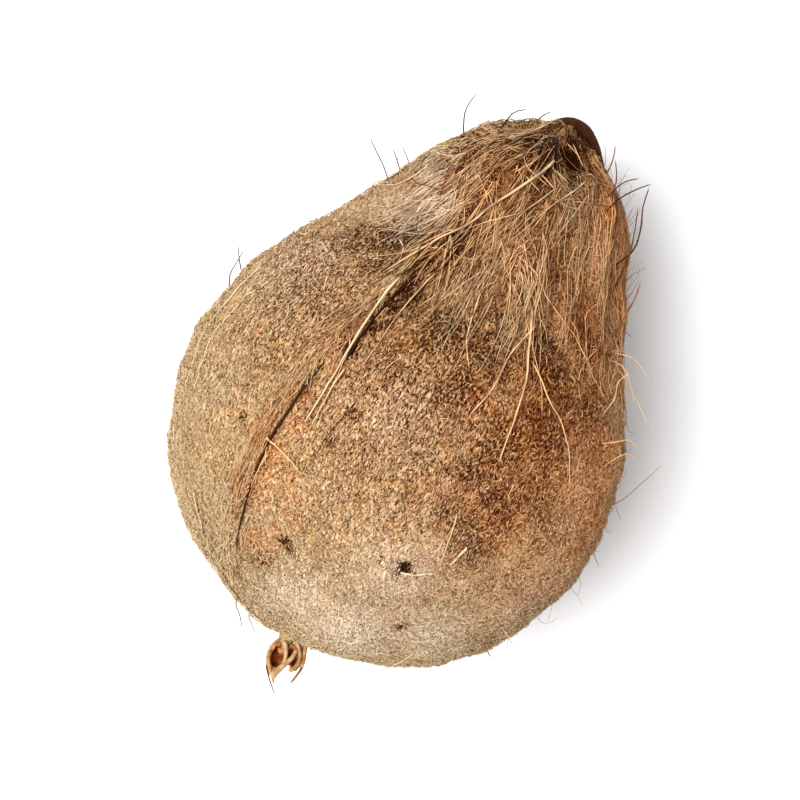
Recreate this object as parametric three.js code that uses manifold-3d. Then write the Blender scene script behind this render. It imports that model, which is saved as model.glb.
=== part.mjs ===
// A half-husked coconut lying on its side: one solid, with its coat of matted husk fibre,
// the tuft of long fibre left over the stalk end, and the torn scrap of husk at the other pole.
// Millimetres and radians. +X runs along the coconut towards its tuft and +Z is up.
// The origin is the middle of the flat spot that it rests on, straight below the nut's centre.
import * as THREE from "three";
import { mergeVertices } from "three/addons/utils/BufferGeometryUtils.js";
import Module from "manifold-3d";

const wasm = await Module();
wasm.setup();

const degrees = THREE.MathUtils.degToRad;

// Driving dimensions of the nut and its tuft
const NUT_RADIUS = 58.2;
const TUFT_REACH = 93.5; // from the nut's centre to the tip of the tuft
const NECK_ANGLE = degrees(118); // where the round of the nut gives way to the tuft
const TUFT_DROOP = degrees(4); // the tuft's end hangs this far below level
const FLAT_DEPTH = 2.0; // how far the flat spot is pressed into the round

// How finely the coat is divided
const SIDES = 66;
const STATIONS = 45;

// Outline of the tuft between its root and its tip, as [along the axis, out from the axis]
const TUFT_OUTLINE = [
  [39, 45],
  [49.5, 38.4],
  [60, 32.6],
  [70.5, 28.2],
  [78.5, 22.6],
  [85, 15],
  [90.5, 7.5],
];

// Relief of the coat: three keels down the nut, of which the first shows from above with a crevice
// beside it, broad lumps, locks of fibre combed along the tuft, and the grain of the felt
const KEEL_HEIGHTS = [2.3, 1.2, 0.8];
const KEEL_HALF_WIDTH = 4.5;
const KEEL_AT_CENTRE = degrees(26); // of the first keel, from the top towards +Y
const KEEL_DRIFT = degrees(-0.17); // per millimetre along the nut
const CREVICE_DEPTH = 3.0;
const CREVICE_MIDDLE = 22;
const CREVICE_HALF_LENGTH = 26;
const LUMPS = [
  { height: 0.75, around: [4, -2], along: [0.09, 0.11] },
  { height: 0.45, around: [7, 3], along: [-0.17, 0.21] },
];
const LOCKS = [
  { height: 0.95, around: 13, along: 0.06 },
  { height: 0.75, around: 21, along: -0.04 },
];
const FELT_ROUGHNESS = 0.42;

// Fibres that stand free of the coat
const FIBRE_RADIUS = 0.42;
const ROOT_DEPTH = 1.6;
const COMBED_STRANDS = 60;
const COMBED_ROOTS = [0.84, 0.94]; // shares of the outline between which they start
const COMBED_RUN = [20, 46];
const STRAY_FIBRES = 76;
const STRAY_TIP = [2.5, 7.5];
const FLANK_STRAYS = 16; // the loose bunch on the tuft's right flank
const FLANK_ROOTS = [0.74, 0.93];
const FLANK_ANGLES = [degrees(62), degrees(112)];
const FLANK_TIP = [5, 12];
const FLOOR_CLEARANCE = 1.5;
const SEED = 20117;

// The torn scrap at the pole, a little to the right of the axis
const SCRAP_LENGTH = 11;
const SCRAP_HALF_WIDTH = 4.2;
const SCRAP_WALL = 1.1;
const SCRAP_OFFSET = -3.7;
const SPLINTER_RADIUS = 1.1;

// The smooth nub at the end of the tuft, and the hollow in front of it
const NUB_SIZE = 5.2;
const HOLLOW_SIZE = 3.4;

const tau = Math.PI * 2;
const clamp01 = (value) => THREE.MathUtils.clamp(value, 0, 1);
const bell = (distance, halfWidth) => Math.exp(-((distance / halfWidth) ** 2));

// Small seeded generator, so that every draw is the same on each run.
function seededDraws(seed) {
  let state = seed >>> 0;
  return () => {
    state = (state + 0x6d2b79f5) >>> 0;
    let mixed = Math.imul(state ^ (state >>> 15), 1 | state);
    mixed = (mixed + Math.imul(mixed ^ (mixed >>> 7), 61 | mixed)) ^ mixed;
    return ((mixed ^ (mixed >>> 14)) >>> 0) / 4294967296;
  };
}

const draw = seededDraws(SEED);
const between = (low, high) => low + (high - low) * draw();

// Outline from the pole to the tip, as (along the axis, out from the axis): a round arc for the nut,
// then the shoulder, the neck and the blunt end of the tuft.
function makeOutline() {
  const shoulder = Math.PI - NECK_ANGLE;
  const nut = new THREE.EllipseCurve(0, 0, NUT_RADIUS, NUT_RADIUS, Math.PI, shoulder, true);
  const tuft = new THREE.SplineCurve([
    nut.getPoint(1),
    ...TUFT_OUTLINE.map(([along, out]) => new THREE.Vector2(along, out)),
    new THREE.Vector2(TUFT_REACH, 0),
  ]);
  const outline = new THREE.CurvePath();
  outline.add(nut);
  outline.add(tuft);
  return outline;
}

const outline = makeOutline();
const outlineLength = outline.getLength();

// Angle of the first keel; the two others are a third of a turn round from it.
const keelAngle = (x) => KEEL_AT_CENTRE + KEEL_DRIFT * x;

// Signed arc from one angle round the nut to another, in millimetres at that radius.
function arcBetween(from, to, radius) {
  const turn = THREE.MathUtils.euclideanModulo(to - from + Math.PI, tau) - Math.PI;
  return turn * radius;
}

// Height of the coat's relief over the outline, which fades out at the two ends.
function relief(x, radius, angle) {
  const onNut = THREE.MathUtils.smoothstep(x, -NUT_RADIUS, -0.6 * NUT_RADIUS);
  const onTuft = THREE.MathUtils.smoothstep(x, 0.35 * NUT_RADIUS, NUT_RADIUS);
  const ends = clamp01((5 * radius) / NUT_RADIUS);

  let height = 0;
  for (const { height: lump, around, along } of LUMPS) {
    const wave = Math.sin(around[0] * angle + along[0] * x + 1);
    height += lump * wave * Math.sin(around[1] * angle + along[1] * x);
  }
  KEEL_HEIGHTS.forEach((keel, k) => {
    const arc = arcBetween(keelAngle(x) + (k * tau) / KEEL_HEIGHTS.length, angle, radius);
    height += keel * onNut * bell(arc, KEEL_HALF_WIDTH);
  });
  const besideKeel = arcBetween(keelAngle(x), angle, radius) + 1.6 * KEEL_HALF_WIDTH;
  const creviceLength = bell(x - CREVICE_MIDDLE, CREVICE_HALF_LENGTH);
  height -= CREVICE_DEPTH * creviceLength * bell(besideKeel, 0.6 * KEEL_HALF_WIDTH);
  for (const { height: lock, around, along } of LOCKS) {
    height += lock * onTuft * Math.cos(around * angle + along * x);
  }
  return height * ends;
}

// A point of the coat at a share of the outline from pole to tip and an angle from the top towards +Y.
function coatPoint(share, angle, lift = 0) {
  const station = outline.getPointAt(clamp01(share));
  const slope = outline.getTangentAt(clamp01(share));
  const height = relief(station.x, station.y, angle) + lift;
  const along = station.x - slope.y * height;
  const out = Math.max(0, station.y + slope.x * height);
  return new THREE.Vector3(along, out * Math.sin(angle), out * Math.cos(angle));
}

// Lays what is drawn round the nut's centre down on the surface, with the tuft drooping a little.
const placement = new THREE.Matrix4()
  .makeTranslation(0, 0, NUT_RADIUS - FLAT_DEPTH)
  .multiply(new THREE.Matrix4().makeRotationY(TUFT_DROOP));

// Turns a closed geometry, drawn round the nut's centre, into a solid at its place.
function solidOf(geometry, matrix = placement) {
  const bare = geometry.clone();
  bare.deleteAttribute("normal");
  bare.deleteAttribute("uv");
  bare.applyMatrix4(matrix);
  const merged = mergeVertices(bare, 1e-4);
  return new wasm.Manifold(
    new wasm.Mesh({
      numProp: 3,
      vertProperties: merged.attributes.position.array,
      triVerts: new Uint32Array(merged.index.array),
    }),
  );
}

// The coat: a lathed outline whose every vertex is then moved to the height of the relief there,
// and a little in or out by chance, as matted fibre is.
function makeCoat() {
  const shares = Array.from({ length: STATIONS + 1 }, (_, j) => j / STATIONS);
  const geometry = new THREE.LatheGeometry(
    shares.map((share) => {
      const station = outline.getPointAt(share);
      return new THREE.Vector2(station.y, station.x);
    }),
    SIDES,
  );
  const felt = Array.from({ length: SIDES * STATIONS }, () => between(-1, 1) * FELT_ROUGHNESS);
  const position = geometry.attributes.position;
  for (let i = 0; i <= SIDES; i += 1) {
    const side = i % SIDES;
    for (let j = 0; j <= STATIONS; j += 1) {
      const atPole = j === 0 || j === STATIONS;
      const lift = atPole ? 0 : felt[side * STATIONS + j];
      const point = coatPoint(shares[j], (-side / SIDES) * tau, lift);
      position.setXYZ(i * (STATIONS + 1) + j, point.x, atPole ? 0 : point.y, atPole ? 0 : point.z);
    }
  }
  return solidOf(geometry);
}

// A three-sided fibre that tapers to a point along a path of points.
function makeFibre(points, radius) {
  const path = new THREE.CatmullRomCurve3(points);
  const geometry = new THREE.ConeGeometry(radius, 1, 3, points.length - 1);
  const position = geometry.attributes.position;
  const vertex = new THREE.Vector3();
  for (let i = 0; i < position.count; i += 1) {
    vertex.fromBufferAttribute(position, i);
    const share = clamp01(vertex.y + 0.5);
    const forward = path.getTangent(share);
    const side = new THREE.Vector3(0.31, 0.52, 0.79).cross(forward).normalize();
    const other = new THREE.Vector3().crossVectors(forward, side);
    const point = path.getPoint(share);
    point.addScaledVector(side, vertex.z).addScaledVector(other, vertex.x);
    position.setXYZ(i, point.x, point.y, point.z);
  }
  return solidOf(geometry);
}

// Points of a fibre that starts under the coat and runs over it: heights gives how far each point
// lies over the coat, and the fibre wanders from its first angle to its last.
function fibrePath(share, angle, run, turn, heights) {
  return heights.map((height, i) => {
    const part = i / (heights.length - 1);
    return coatPoint(share + (run * part) / outlineLength, angle + turn * part, height);
  });
}

const staysUp = (points) =>
  points.every((point) => point.clone().applyMatrix4(placement).z > FLOOR_CLEARANCE);

// Strands combed back from the end of the tuft over its locks, with their tips just off the coat.
function makeCombedStrands() {
  const strands = [];
  for (let n = 0; n < COMBED_STRANDS; n += 1) {
    const angle = ((n + between(-0.4, 0.4)) / COMBED_STRANDS) * tau;
    const run = -between(...COMBED_RUN);
    const lift = between(1.1, 2.0);
    const heights = [-ROOT_DEPTH, lift, lift + 0.3, lift + between(0.2, 1.8)];
    const points = fibrePath(between(...COMBED_ROOTS), angle, run, between(-0.12, 0.12), heights);
    if (staysUp(points)) {
      strands.push(makeFibre(points, FIBRE_RADIUS));
    }
  }
  return strands;
}

// Stray fibres, spread evenly over the whole coat by the golden angle.
function makeStrays() {
  const strays = [];
  const goldenAngle = Math.PI * (3 - Math.sqrt(5));
  for (let n = 0; n < STRAY_FIBRES; n += 1) {
    const share = 0.05 + (0.9 * (n + 0.5)) / STRAY_FIBRES;
    const angle = n * goldenAngle + between(-0.2, 0.2);
    const run = between(-6, 6);
    const tip = between(...STRAY_TIP);
    const heights = [-ROOT_DEPTH, 0.45 * tip, tip];
    const points = fibrePath(share, angle, run, between(-0.09, 0.09), heights);
    if (staysUp(points)) {
      strays.push(makeFibre(points, FIBRE_RADIUS));
    }
  }
  return strays;
}

// The loose bunch that stands off the tuft's right flank, at half a height from the floor and up.
function makeFlankStrays() {
  const strays = [];
  for (let n = 0; n < FLANK_STRAYS; n += 1) {
    const angle = -between(...FLANK_ANGLES);
    const run = between(-16, 14);
    const tip = between(...FLANK_TIP);
    const heights = [-ROOT_DEPTH, 0.3 * tip, 0.75 * tip, tip];
    const points = fibrePath(between(...FLANK_ROOTS), angle, run, between(-0.1, 0.1), heights);
    strays.push(makeFibre(points, FIBRE_RADIUS));
  }
  return strays;
}

// An egg-shaped solid at a place in the nut's frame, with its long axis turned about Z.
function makeEgg(radii, centre, turn) {
  const matrix = placement
    .clone()
    .multiply(new THREE.Matrix4().makeTranslation(centre.x, centre.y, centre.z))
    .multiply(new THREE.Matrix4().makeRotationZ(turn))
    .multiply(new THREE.Matrix4().makeScale(...radii));
  return solidOf(new THREE.IcosahedronGeometry(1, 2), matrix);
}

// A cup with a mouth that opens upwards and outwards, drawn at the place of its middle.
function makeCup(radii, middle, turn) {
  const mouth = middle.clone().add(new THREE.Vector3(-0.2, 0.1, 0.55).multiplyScalar(radii[0]));
  const mouthRadii = radii.map((radius) => radius - SCRAP_WALL);
  return makeEgg(radii, middle, turn).subtract(makeEgg(mouthRadii, mouth, turn));
}

// A splinter from its root inside the nut past a bend to its tip, given as [x, y, z] off the pole.
function makeSplinter(root, bend, tip) {
  const atPole = ([x, y, z]) => new THREE.Vector3(-NUT_RADIUS - x, SCRAP_OFFSET + y, z);
  return makeFibre([root, bend, tip].map(atPole), SPLINTER_RADIUS);
}

// The torn scrap of husk at the pole: a curled cup and a smaller curl beside it on a short neck,
// with three splinters.
function makeScrap() {
  const width = SCRAP_HALF_WIDTH;
  const reach = SCRAP_LENGTH;
  const place = (x, y, z) => new THREE.Vector3(-NUT_RADIUS - x, SCRAP_OFFSET + y, z);
  const cup = makeCup([0.52 * reach, 0.9 * width, width], place(0.45 * reach, 0.25 * width, 0), 0.2);
  const curl = makeCup([0.36 * reach, 0.5 * width, 0.7 * width], place(0.4 * reach, -0.65 * width, 0), 0.5);
  const neck = makeEgg([0.5 * reach, 1.1 * width, 0.8 * width], place(-0.15 * reach, 0, -0.2 * width), 0);
  return cup
    .add(curl)
    .add(neck)
    .add(makeSplinter([-2, 1.5, 1.5], [0.5 * reach, 1.2, 3.4], [1.08 * reach, 1.0, 2.2]))
    .add(makeSplinter([-2, -3.2, 0], [0.5 * reach, -4.0, 0.4], [reach, -4.1, -1.2]))
    .add(makeSplinter([-2, 3.0, -2], [0.4 * reach, 3.8, -3.2], [0.9 * reach, 4.4, -4.0]));
}

// The tuft's end: a smooth rounded nub, and the hollow in front of it that faces upwards.
function finishTip(body) {
  const nubPlace = new THREE.Vector3(TUFT_REACH - 0.95 * NUB_SIZE, 1, 0.9 * NUB_SIZE);
  const nub = makeEgg([0.9 * NUB_SIZE, 1.2 * NUB_SIZE, NUB_SIZE], nubPlace, 0);
  const hollowPlace = new THREE.Vector3(TUFT_REACH - 2.3 * HOLLOW_SIZE, -HOLLOW_SIZE, 4.1 * HOLLOW_SIZE);
  const hollow = makeEgg([0.8 * HOLLOW_SIZE, 1.1 * HOLLOW_SIZE, HOLLOW_SIZE], hollowPlace, 0);
  return body.add(nub).subtract(hollow);
}

// Everything under the surface that the coconut lies on, which the flat spot is cut by.
function makeGround() {
  const size = 4 * NUT_RADIUS;
  return solidOf(
    new THREE.BoxGeometry(size, size, size),
    new THREE.Matrix4().makeTranslation(0, 0, -size / 2),
  );
}

// A buffer geometry with flat facets from a finished solid.
function geometryOf(solid) {
  const mesh = solid.getMesh();
  const geometry = new THREE.BufferGeometry();
  geometry.setAttribute("position", new THREE.BufferAttribute(mesh.vertProperties, mesh.numProp));
  geometry.setIndex(new THREE.BufferAttribute(mesh.triVerts, 1));
  geometry.computeVertexNormals();
  return geometry;
}

const fibres = [...makeCombedStrands(), ...makeStrays(), ...makeFlankStrays()];
const whole = fibres
  .reduce((body, fibre) => body.add(fibre), finishTip(makeCoat()))
  .add(makeScrap())
  .subtract(makeGround());

const huskFibre = new THREE.MeshStandardMaterial({
  name: "husk_fibre",
  color: new THREE.Color().setStyle("#b98f63"),
  roughness: 0.95,
  metalness: 0,
});

const coconut = new THREE.Mesh(geometryOf(whole), huskFibre);
coconut.name = "coconut";

const part = new THREE.Group();
part.add(coconut);

export default part;
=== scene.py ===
# %% [markdown]
# This lesson dresses a half-husked coconut. Its solid model is already packed as a fixed frame,
# so the first step only loads that frame. Everything made later has to stay inside that box,
# apart from a few loose fibres.

# %% Load the frame
import math

import bmesh
import bpy
import numpy as np
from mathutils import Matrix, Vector, noise


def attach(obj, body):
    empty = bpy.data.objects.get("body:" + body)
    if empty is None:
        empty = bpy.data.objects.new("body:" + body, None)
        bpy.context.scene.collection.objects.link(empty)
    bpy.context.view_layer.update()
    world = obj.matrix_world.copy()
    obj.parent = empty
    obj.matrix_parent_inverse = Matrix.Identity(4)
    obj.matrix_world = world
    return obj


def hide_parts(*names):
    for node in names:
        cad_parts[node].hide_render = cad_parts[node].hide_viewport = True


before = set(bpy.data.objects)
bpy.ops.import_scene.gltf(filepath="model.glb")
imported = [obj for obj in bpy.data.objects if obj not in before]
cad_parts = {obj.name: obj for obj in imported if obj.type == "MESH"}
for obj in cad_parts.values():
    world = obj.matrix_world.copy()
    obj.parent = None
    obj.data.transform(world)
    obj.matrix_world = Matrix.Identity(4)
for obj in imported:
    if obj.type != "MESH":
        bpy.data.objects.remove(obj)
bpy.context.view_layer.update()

# %% [markdown]
# A coconut's coat is grown round an axis, so two numbers name any point of it: the share of the
# outline from the pole to the tuft's tip, and the angle round the axis. The outline is a round arc
# for the nut and a smooth curve through a few points for the tuft. It is written in millimetres,
# because a fibre is easier to think of as 0.3 mm than as 0.0003 m.

# %% The outline from pole to tip
MM = 0.001
NUT_RADIUS = 58.2
NECK_ANGLE = math.radians(118)
TUFT_REACH = 93.5
TUFT_DROOP = math.radians(4)
FLAT_DEPTH = 2.0
TUFT_OUTLINE = [(39, 45), (49.5, 38.4), (60, 32.6), (70.5, 28.2), (78.5, 22.6), (85, 15), (90.5, 7.5)]
NUT_POINTS, CURVE_POINTS = 400, 40  # on the arc, and between two points of the tuft's outline


def smooth_curve(points, steps):
    """Points along a Catmull-Rom curve through the given ones."""
    ends = [points[0]] + list(points) + [points[-1]]
    part = np.linspace(0, 1, steps, endpoint=False)[:, None]
    pieces = []
    for before, start, end, after in zip(ends, ends[1:], ends[2:], ends[3:]):
        before, start, end, after = map(np.array, (before, start, end, after))
        pull, push = (end - before) / 2, (after - start) / 2
        bend = 3 * (end - start) - 2 * pull - push
        turn = 2 * (start - end) + pull + push
        pieces.append(start + pull * part + bend * part**2 + turn * part**3)
    return np.concatenate(pieces + [np.array([points[-1]], float)])


def make_outline():
    """The outline as (along, out) rows, close together and in order."""
    sweep = np.linspace(0, NECK_ANGLE, NUT_POINTS)
    nut = np.stack([-np.cos(sweep), np.sin(sweep)], 1) * NUT_RADIUS
    tuft = smooth_curve([nut[-1], *TUFT_OUTLINE, (TUFT_REACH, 0)], CURVE_POINTS)
    return np.concatenate([nut[:-1], tuft])


OUTLINE = make_outline()
OUTLINE_ARC = np.concatenate([[0], np.cumsum(np.linalg.norm(np.diff(OUTLINE, axis=0), axis=1))])
OUTLINE_LENGTH = OUTLINE_ARC[-1]
print("outline", round(OUTLINE_LENGTH, 1), "mm long with", len(OUTLINE), "points")

# %% [markdown]
# The coat isn't smooth. Three keels run down the nut, a crevice lies beside the one on top, locks
# of fibre are combed along the tuft, and the felt is lumpy. Each is a term of one height formula.
# The noise is read in space and not in share and angle, so that it has no seam and no pinch at
# the poles.

# %% The relief of the coat
KEEL_HEIGHTS = [2.3, 1.2, 0.4]
KEEL_HALF_WIDTH = 4.5
KEEL_AT_CENTRE = math.radians(26)
KEEL_DRIFT = math.radians(-0.17)
CREVICE_DEPTH = 3.0
CREVICE_MIDDLE = 22
CREVICE_HALF_LENGTH = 26
CREVICE_BESIDE = 1.6 * KEEL_HALF_WIDTH
CREVICE_HALF_WIDTH = 0.5 * KEEL_HALF_WIDTH
KEELS_RISE = (-NUT_RADIUS, -0.6 * NUT_RADIUS)  # the places on the axis between which the keels rise
LOCKS_RISE = (0.35 * NUT_RADIUS, NUT_RADIUS)
LUMPS = [(0.75, (4, -2), (0.09, 0.11)), (0.45, (7, 3), (-0.17, 0.21))]
LOCKS = [(0.6, 13, 0.06), (0.45, 21, -0.04)]
CLUMP_SIZE, CLUMP_HEIGHT = 7.0, 0.55
NAP_SIZE, NAP_HEIGHT = 2.1, 0.5
END_FADE = 5  # the relief fades out where the radius is under a fifth of the nut's
SLOPE_REACH = 0.5  # how far to each side the slope of the outline is read
DENTS = []  # rows of place, half size and depth, filled in once pixels can be looked up


def bell(distance, half_width):
    return np.exp(-((distance / half_width) ** 2))


def smooth_step(value, low, high):
    part = np.clip((value - low) / (high - low), 0, 1)
    return part * part * (3 - 2 * part)


def noise_at(points, size, layer=0):
    """Noise from -1 to 1 whose lumps are about size millimetres across."""
    scale = 1 / size
    shift = Vector((17.3, 5.1, 9.7)) * layer
    return np.array([noise.noise(Vector(point) * scale + shift) for point in points.reshape(-1, 3)])


def keel_angle(x):
    return KEEL_AT_CENTRE + KEEL_DRIFT * x


def arc_between(start, end, radius):
    """Signed distance round the nut from one angle to another."""
    turn = np.mod(end - start + math.pi, 2 * math.pi) - math.pi
    return turn * radius


def relief(x, radius, angle, base):
    """Height of the coat over its outline, which fades out at the two ends."""
    on_nut = smooth_step(x, *KEELS_RISE)
    on_tuft = smooth_step(x, *LOCKS_RISE)
    height = CLUMP_HEIGHT * noise_at(base, CLUMP_SIZE) + NAP_HEIGHT * noise_at(base, NAP_SIZE, 1)
    for lump, around, along in LUMPS:
        first = np.sin(around[0] * angle + along[0] * x + 1)
        height += lump * first * np.sin(around[1] * angle + along[1] * x)
    for k, keel in enumerate(KEEL_HEIGHTS):
        arc = arc_between(keel_angle(x) + 2 * math.pi * k / len(KEEL_HEIGHTS), angle, radius)
        height += keel * on_nut * bell(arc, KEEL_HALF_WIDTH)
    beside = arc_between(keel_angle(x), angle, radius) + CREVICE_BESIDE
    crevice = bell(x - CREVICE_MIDDLE, CREVICE_HALF_LENGTH) * bell(beside, CREVICE_HALF_WIDTH)
    height -= CREVICE_DEPTH * crevice
    for lock, around, along in LOCKS:
        height += lock * on_tuft * np.cos(around * angle + along * x)
    height *= np.clip(END_FADE * radius / NUT_RADIUS, 0, 1)
    for place, half_size, depth in DENTS:
        height -= depth * bell(np.linalg.norm(base - place, axis=-1).ravel(), half_size)
    return height


def outline_at(arc):
    """Place along the axis and radius of the outline, arc millimetres from the pole."""
    return np.interp(arc, OUTLINE_ARC, OUTLINE[:, 0]), np.interp(arc, OUTLINE_ARC, OUTLINE[:, 1])


def coat(share, angle, lift=0.0):
    """Points in millimetres in the nut's own frame, lift above the coat."""
    share, angle, lift = (a.astype(float) for a in np.broadcast_arrays(share, angle, lift))
    arc = np.clip(share, 0, 1) * OUTLINE_LENGTH
    x, radius = outline_at(arc)
    ahead, behind = outline_at(arc + SLOPE_REACH), outline_at(arc - SLOPE_REACH)
    slope_x, slope_r = ahead[0] - behind[0], ahead[1] - behind[1]
    size = np.hypot(slope_x, slope_r)
    base = np.stack([x, radius * np.sin(angle), radius * np.cos(angle)], -1)
    height = relief(x.ravel(), radius.ravel(), angle.ravel(), base).reshape(x.shape) + lift
    along = x - slope_r / size * height
    out = np.maximum(0, radius + slope_x / size * height)
    return np.stack([along, out * np.sin(angle), out * np.cos(angle)], -1)


def lay_down(points):
    """From the nut's own frame in millimetres to the row's frame in millimetres."""
    x, y, z = points[..., 0], points[..., 1], points[..., 2]
    cos, sin = math.cos(TUFT_DROOP), math.sin(TUFT_DROOP)
    return np.stack([x * cos + z * sin, y, -x * sin + z * cos + NUT_RADIUS - FLAT_DEPTH], -1)


def take_up(points):
    """The way back, from the row's frame in millimetres to the nut's own frame."""
    x, y, z = points[..., 0], points[..., 1], points[..., 2] - NUT_RADIUS + FLAT_DEPTH
    cos, sin = math.cos(TUFT_DROOP), math.sin(TUFT_DROOP)
    return np.stack([x * cos - z * sin, y, x * sin + z * cos], -1)


check = lay_down(coat(np.array([0.0, 0.5, 1.0]), np.zeros(3)))
print("pole, top and tip in mm", check.round(1).tolist())

# %% [markdown]
# The camera comes early, because a few long strands are placed by where they lie in the
# photograph. It looks straight down from about 0.55 m. The coconut's axis points to the upper
# right of the picture, 60 degrees above the horizontal.

# %% The camera and the way from a pixel to the coat
PICTURE = 800
LENS, SENSOR = 85.0, 36.0
PIXEL = 0.26
NUT_PIXEL = (396.5, 436.5)
AXIS_IN_PICTURE = math.radians(60)
EYE_HEIGHT = NUT_RADIUS - FLAT_DEPTH + PIXEL * PICTURE * LENS / SENSOR

right = np.array([math.cos(AXIS_IN_PICTURE), -math.sin(AXIS_IN_PICTURE)])
down = np.array([-math.sin(AXIS_IN_PICTURE), -math.cos(AXIS_IN_PICTURE)])
offset = (np.array(NUT_PIXEL) - PICTURE / 2) * PIXEL
EYE = np.append(-(offset[0] * right + offset[1] * down), EYE_HEIGHT)

camera_data = bpy.data.cameras.new("camera")
camera_data.lens = LENS
camera_data.sensor_width = SENSOR
camera_data.clip_start = 0.01
camera = bpy.data.objects.new("camera", camera_data)
camera.location = Vector(EYE) * MM
camera.rotation_euler = (0, 0, -AXIS_IN_PICTURE)
bpy.context.collection.objects.link(camera)
bpy.context.scene.camera = camera
print("camera at", [round(value, 4) for value in camera.location])


def to_pixels(points):
    """Where points of the row's frame, in millimetres, show in the picture."""
    from_eye = points - EYE
    depth = -from_eye[..., 2]
    focus = PICTURE * LENS / SENSOR
    across = (from_eye[..., :2] @ right) * focus / depth
    below = (from_eye[..., :2] @ down) * focus / depth
    return np.stack([across, below], -1) + PICTURE / 2


# the part of the coat that can show in the picture, in steps of under a millimetre
GRID_SHARES = np.linspace(0.01, 0.99, 240)
GRID_ANGLES = np.radians(np.linspace(-100, 100, 401))
grid_share, grid_angle = np.meshgrid(GRID_SHARES, GRID_ANGLES)
GRID = np.stack([grid_share.ravel(), grid_angle.ravel()], 1)
GRID_PIXELS = to_pixels(lay_down(coat(GRID[:, 0], GRID[:, 1])))


def on_coat(pixels):
    """Share and angle of the places on the coat that show at these pixels."""
    nearest = [np.argmin(((GRID_PIXELS - pixel) ** 2).sum(1)) for pixel in np.array(pixels, float)]
    return GRID[nearest]


def in_air(pixels, height):
    """Points of the row's frame that show at these pixels and lie at this height, in millimetres."""
    away = (np.array(pixels, float) - PICTURE / 2) * (EYE_HEIGHT - height) * SENSOR / (PICTURE * LENS)
    flat = EYE[:2] + away[:, :1] * right + away[:, 1:] * down
    return np.column_stack([flat, np.full(len(flat), height)])


print("the middle of the picture is at share and angle", on_coat([(400, 400)]).round(2).tolist())

# %% [markdown]
# A few dents show in the photograph: three small dark pits in the felt, and the hollow in front of
# the nub at the tuft's end. They are looked up by their pixels, as half size and depth in
# millimetres, and from here on the height formula sinks them into the coat.

# %% Dents
PITS = {
    "pit_left": ((285, 545), 1.7, 2.0),
    "pit_middle": ((405, 567), 1.3, 1.5),
    "pit_low": ((402, 627), 1.2, 1.2),
}
HOLLOWS = {"stalk_hollow": ((575, 154), 4.6, 4.8), "stalk_hollow_left": ((545, 155), 2.0, 1.4)}

for pixel, half_size, depth in [*PITS.values(), *HOLLOWS.values()]:
    place = coat(*on_coat([pixel]).T)[0]
    DENTS.append((place, half_size, depth))
print(len(DENTS), "dents")

# %% [markdown]
# The colour of the coat changes from place to place: tan where it is dry and scuffed, red-brown
# towards the right of the tuft and along the side away from the lamp, where it is partly painted
# warm shade, pale at the bottom, partly painted light, and dark in patches, partly darker fibres
# and partly painted shade in the pits, the hollow at the tip and the crevice beside the keel. Each
# patch is a soft round spot with a place on the coat, and noise breaks its edge. The three amounts
# are stored on every vertex, and all the finishes read them.

# %% Where the coat is dark, warm or pale, with painted shade and light
# the side in the picture: pixel, half size in mm, amount
# the dark patches: partly darker fibres, partly painted shade in the pits, the hollow at the tip and along
# the crevice beside the keel
DARK_AND_SHADE_SEEN = [
    ((392, 240), 8, 1.2), ((362, 238), 9, 0.9), ((300, 250), 13, 0.5), ((285, 300), 9, 0.6),
    ((245, 265), 8, 0.3), ((410, 288), 4.5, 1.2), ((430, 266), 4.5, 1.2), ((454, 243), 4, 1.1),
    ((392, 305), 3.5, 1.3), ((372, 325), 3.2, 1.2), ((352, 350), 3, 1.1), ((420, 300), 10, 0.6),
    ((385, 322), 4, 0.8), ((400, 355), 13, 0.6), ((450, 330), 10, 0.9), ((545, 345), 6, 1.0),
    ((552, 375), 10, 0.85), ((545, 430), 12, 0.7), ((590, 410), 10, 0.65), ((500, 330), 8, 0.6),
    ((480, 350), 12, 0.8), ((430, 400), 14, 0.55), ((470, 475), 7, 0.7), ((472, 545), 6, 0.75),
    ((450, 505), 8, 0.5), ((500, 445), 12, 0.7), ((383, 383), 6, 0.5), ((577, 154), 5, 1.0),
    ((500, 130), 9, 1.1), ((532, 140), 9, 1.2), ((552, 152), 9, 1.3), ((540, 168), 8, 1.1),
    ((566, 172), 7, 1.0), ((487, 138), 8, 1.0), ((505, 148), 7, 0.8),
    ((585, 140), 8, 1.1), ((470, 150), 7, 0.9), ((560, 205), 6, 0.5), ((260, 560), 4, 0.5),
    ((520, 230), 30, 0.4), ((470, 175), 14, 0.7), ((400, 440), 28, 0.35), ((320, 290), 24, 0.55),
    ((350, 500), 22, 0.15), ((574, 153), 6.2, 2.6), ((283, 543), 1.6, 2.4), ((289, 550), 1.4, 2.0),
    ((405, 567), 1.5, 2.2), ((402, 627), 1.5, 2.0), ((470, 215), 4, 0.9), ((490, 198), 4, 0.7),
    ((242, 418), 1.5, 1.0), ((262, 560), 2.0, 0.8), ((350, 415), 2.0, 0.9), ((330, 440), 2.0, 0.9),
    ((380, 264), 9, 0.85), ((462, 228), 8, 0.7), ((464, 264), 9, 0.7), ((460, 385), 9, 0.8),
    ((500, 500), 10, 0.65), ((540, 500), 9, 0.45), ((365, 380), 10, 0.5), ((582, 340), 8, 0.6),
    ((425, 345), 8, 0.75), ((500, 185), 9, 0.5),
]
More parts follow.
